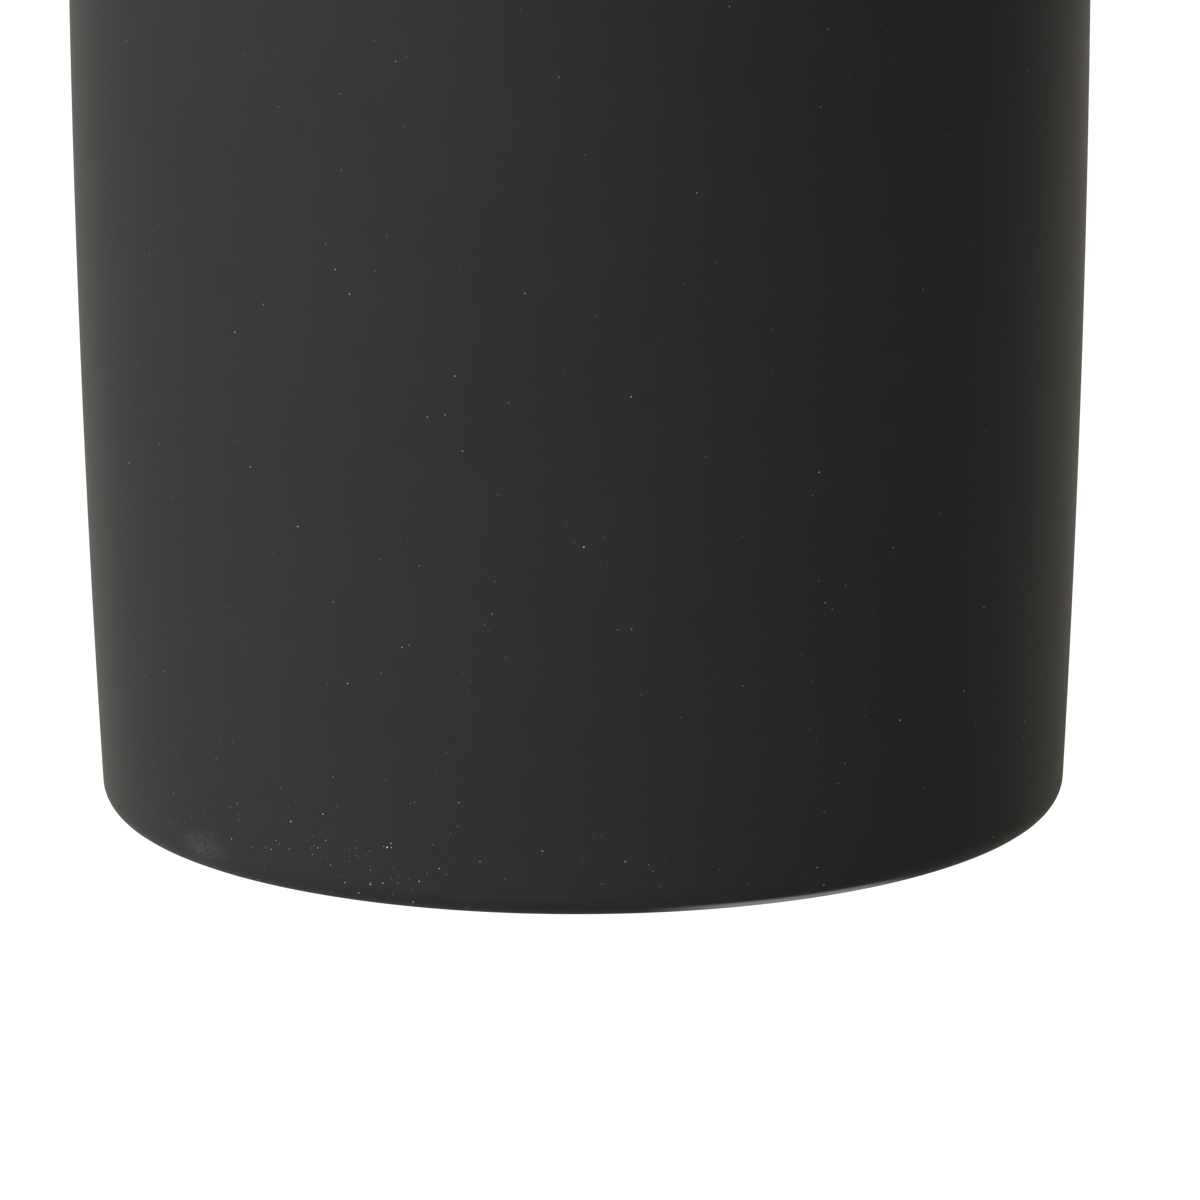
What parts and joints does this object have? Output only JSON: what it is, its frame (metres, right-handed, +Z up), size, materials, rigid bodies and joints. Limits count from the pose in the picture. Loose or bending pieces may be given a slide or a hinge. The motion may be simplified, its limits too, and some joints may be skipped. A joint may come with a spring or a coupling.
{
  "type": "candle jar",
  "caption": "Empty round candle jar: thick-based glass tumbler with satin black coating, turned bamboo lid and finned silicone lid seal.",
  "frame": {"origin": "centre of the jar's foot, on the surface that it stands on", "axes": "+Z up along the jar's axis, from the foot to the lid; the parts are round, so X and Y are free, and the lid's bamboo strips run along X"},
  "size_m": [0.08, 0.08, 0.1],
  "materials": {
    "black_coated_glass": "satin black sprayed lacquer on glass",
    "bamboo": "fine sanded, clear oiled",
    "silicone": "translucent, soft matte"
  },
  "bodies": {
    "jar": {"glass_jar": "black_coated_glass"},
    "seal": {"lid_seal_ring": "silicone"},
    "lid": {"bamboo_lid": "bamboo"}
  },
  "joints": [
    {"name": "lid_lift", "type": "slide", "parent": "jar", "child": "seal", "axis": [0, 0, 1], "range_m": [0, 0.12]},
    {"name": "lid_turn", "type": "hinge", "parent": "seal", "child": "lid", "pos_m": [0, 0, 0.09], "axis": [0, 0, 1], "continuous": true}
  ]
}
